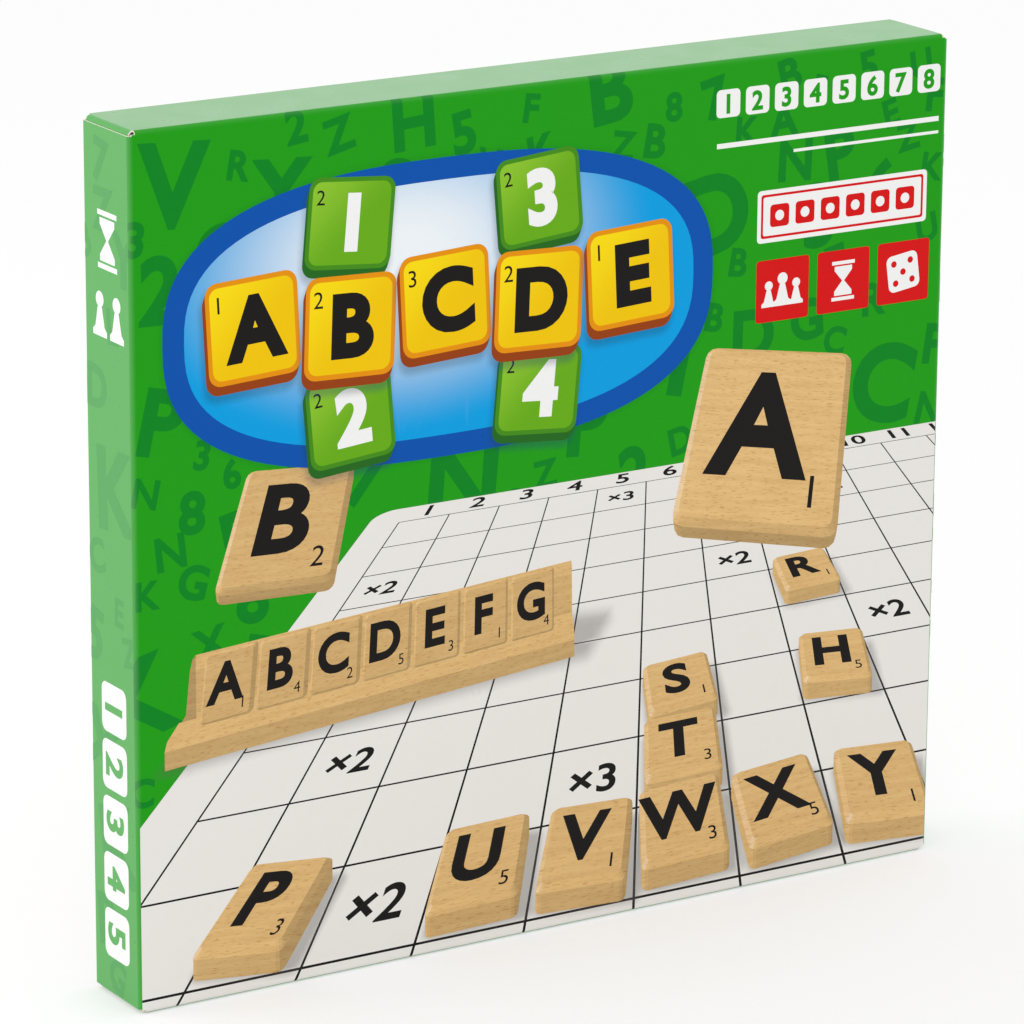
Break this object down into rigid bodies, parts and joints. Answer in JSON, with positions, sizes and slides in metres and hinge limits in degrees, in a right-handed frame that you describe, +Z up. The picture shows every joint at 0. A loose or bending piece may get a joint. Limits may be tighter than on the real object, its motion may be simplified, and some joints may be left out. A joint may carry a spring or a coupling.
{
  "type": "boxed word game",
  "caption": "Flat carton box with a lift-off lid, holding a playing board, rules leaflet, wooden racks and wooden letter tiles in a formed insert.",
  "frame": {"origin": "middle of the face that the box stands on, halfway through its depth", "axes": "+X along the long side of the box, to the right as the lid is seen; +Y from the lid's printed panel to the tray's back; +Z up, as the box stands in the picture"},
  "size_m": [0.365, 0.036, 0.34],
  "materials": {
    "printed_board": "gloss print on white-lined board",
    "plain_board": "matt uncoated board",
    "formed_plastic": "satin formed sheet",
    "board_print": "satin print, off white with black rules",
    "leaflet_paper": "matt paper",
    "rack_wood": "satin lacquered beech",
    "tile_wood": "satin lacquered beech"
  },
  "bodies": {
    "tray": {"tray_carton": "plain_board", "insert_tray": "formed_plastic"},
    "lid": {"lid_carton": "printed_board"},
    "board": {"game_board": "board_print"},
    "leaflet": {"rules_leaflet": "leaflet_paper"},
    "rack_1": {"rack_1": "rack_wood"},
    "rack_2": {"rack_2": "rack_wood"},
    "rack_3": {"rack_3": "rack_wood"},
    "rack_4": {"rack_4": "rack_wood"},
    "tile_row_1": {"tile_1_1": "tile_wood", "tile_1_2": "tile_wood", "tile_1_3": "tile_wood", "tile_1_4": "tile_wood", "tile_1_5": "tile_wood", "tile_1_6": "tile_wood", "tile_1_7": "tile_wood", "tile_1_8": "tile_wood"},
    "tile_row_2": {"tile_2_1": "tile_wood", "tile_2_2": "tile_wood", "tile_2_3": "tile_wood", "tile_2_4": "tile_wood", "tile_2_5": "tile_wood", "tile_2_6": "tile_wood", "tile_2_7": "tile_wood", "tile_2_8": "tile_wood"},
    "tile_row_3": {"tile_3_1": "tile_wood", "tile_3_2": "tile_wood", "tile_3_3": "tile_wood", "tile_3_4": "tile_wood", "tile_3_5": "tile_wood", "tile_3_6": "tile_wood", "tile_3_7": "tile_wood", "tile_3_8": "tile_wood"},
    "tile_row_4": {"tile_4_1": "tile_wood", "tile_4_2": "tile_wood", "tile_4_3": "tile_wood", "tile_4_4": "tile_wood", "tile_4_5": "tile_wood", "tile_4_6": "tile_wood", "tile_4_7": "tile_wood", "tile_4_8": "tile_wood"},
    "tile_row_5": {"tile_5_1": "tile_wood", "tile_5_2": "tile_wood", "tile_5_3": "tile_wood", "tile_5_4": "tile_wood", "tile_5_5": "tile_wood", "tile_5_6": "tile_wood", "tile_5_7": "tile_wood", "tile_5_8": "tile_wood"},
    "tile_row_6": {"tile_6_1": "tile_wood", "tile_6_2": "tile_wood", "tile_6_3": "tile_wood", "tile_6_4": "tile_wood", "tile_6_5": "tile_wood", "tile_6_6": "tile_wood", "tile_6_7": "tile_wood", "tile_6_8": "tile_wood"},
    "back_tile_layer": {"back_tiles": "tile_wood"}
  },
  "joints": [
    {"name": "lid_slide", "type": "slide", "parent": "tray", "child": "lid", "axis": [0, -1, 0], "range_m": [0, 0.3]},
    {"name": "board_slide", "type": "slide", "parent": "tray", "child": "board", "axis": [0, -1, 0], "range_m": [0, 0.246]},
    {"name": "leaflet_slide", "type": "slide", "parent": "tray", "child": "leaflet", "axis": [0, -1, 0], "range_m": [0, 0.21]},
    {"name": "rack_1_slide", "type": "slide", "parent": "tray", "child": "rack_1", "axis": [0, -1, 0], "range_m": [0, 0.15]},
    {"name": "rack_2_slide", "type": "slide", "parent": "tray", "child": "rack_2", "axis": [0, -1, 0], "range_m": [0, 0.15]},
    {"name": "rack_3_slide", "type": "slide", "parent": "tray", "child": "rack_3", "axis": [0, -1, 0], "range_m": [0, 0.15]},
    {"name": "rack_4_slide", "type": "slide", "parent": "tray", "child": "rack_4", "axis": [0, -1, 0], "range_m": [0, 0.15]},
    {"name": "tile_row_1_slide", "type": "slide", "parent": "tray", "child": "tile_row_1", "axis": [0, -1, 0], "range_m": [0, 0.132]},
    {"name": "tile_row_2_slide", "type": "slide", "parent": "tray", "child": "tile_row_2", "axis": [0, -1, 0], "range_m": [0, 0.126]},
    {"name": "tile_row_3_slide", "type": "slide", "parent": "tray", "child": "tile_row_3", "axis": [0, -1, 0], "range_m": [0, 0.12]},
    {"name": "tile_row_4_slide", "type": "slide", "parent": "tray", "child": "tile_row_4", "axis": [0, -1, 0], "range_m": [0, 0.114]},
    {"name": "tile_row_5_slide", "type": "slide", "parent": "tray", "child": "tile_row_5", "axis": [0, -1, 0], "range_m": [0, 0.108]},
    {"name": "tile_row_6_slide", "type": "slide", "parent": "tray", "child": "tile_row_6", "axis": [0, -1, 0], "range_m": [0, 0.102]},
    {"name": "back_tile_layer_slide", "type": "slide", "parent": "tray", "child": "back_tile_layer", "axis": [0, -1, 0], "range_m": [0, 0.06]}
  ],
  "couplings": [
    {"joint": "board_slide", "follows": "lid_slide", "ratio": 0.82},
    {"joint": "leaflet_slide", "follows": "lid_slide", "ratio": 0.7},
    {"joint": "rack_1_slide", "follows": "lid_slide", "ratio": 0.5},
    {"joint": "rack_2_slide", "follows": "lid_slide", "ratio": 0.5},
    {"joint": "rack_3_slide", "follows": "lid_slide", "ratio": 0.5},
    {"joint": "rack_4_slide", "follows": "lid_slide", "ratio": 0.5},
    {"joint": "tile_row_1_slide", "follows": "lid_slide", "ratio": 0.44},
    {"joint": "tile_row_2_slide", "follows": "lid_slide", "ratio": 0.42},
    {"joint": "tile_row_3_slide", "follows": "lid_slide", "ratio": 0.4},
    {"joint": "tile_row_4_slide", "follows": "lid_slide", "ratio": 0.38},
    {"joint": "tile_row_5_slide", "follows": "lid_slide", "ratio": 0.36},
    {"joint": "tile_row_6_slide", "follows": "lid_slide", "ratio": 0.34},
    {"joint": "back_tile_layer_slide", "follows": "lid_slide", "ratio": 0.2}
  ]
}
